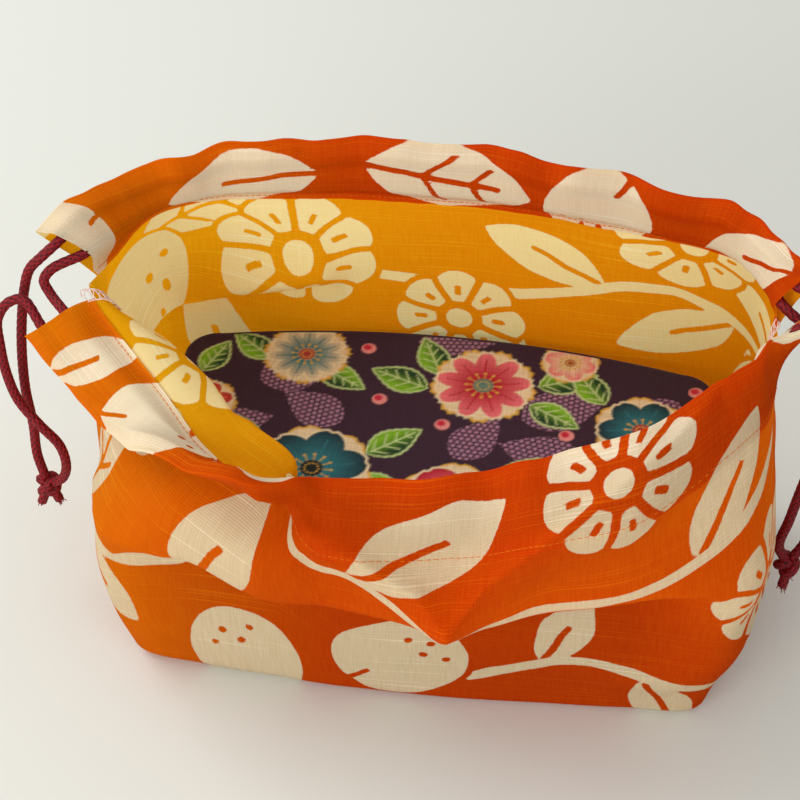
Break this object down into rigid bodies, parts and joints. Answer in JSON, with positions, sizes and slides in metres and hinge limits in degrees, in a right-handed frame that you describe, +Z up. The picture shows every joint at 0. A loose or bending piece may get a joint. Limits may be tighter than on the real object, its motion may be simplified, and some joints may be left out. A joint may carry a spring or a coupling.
{
  "type": "furoshiki drawstring bag",
  "caption": "Open drawstring bag sewn from a printed furoshiki cloth, with a boxed bottom, rim casings, knotted side cords and a stiff cloth-covered insert in the bottom.",
  "frame": {"origin": "centre of the boxed bottom's underside, on the surface the bag stands on", "axes": "+X along the bag's length towards its right side, +Y towards its back, +Z up"},
  "size_m": [0.2934, 0.1431, 0.1563],
  "materials": {
    "cloth": "orange slub cotton with a cream print, yellow inside",
    "cord": "maroon braided cord",
    "insert": "dark purple cotton with a printed flower pattern"
  },
  "bodies": {
    "root": {"cloth_bag": "cloth", "left_cord": "cord", "right_cord": "cord", "left_knot": "cord", "right_knot": "cord", "base_insert": "insert"}
  },
  "joints": []
}
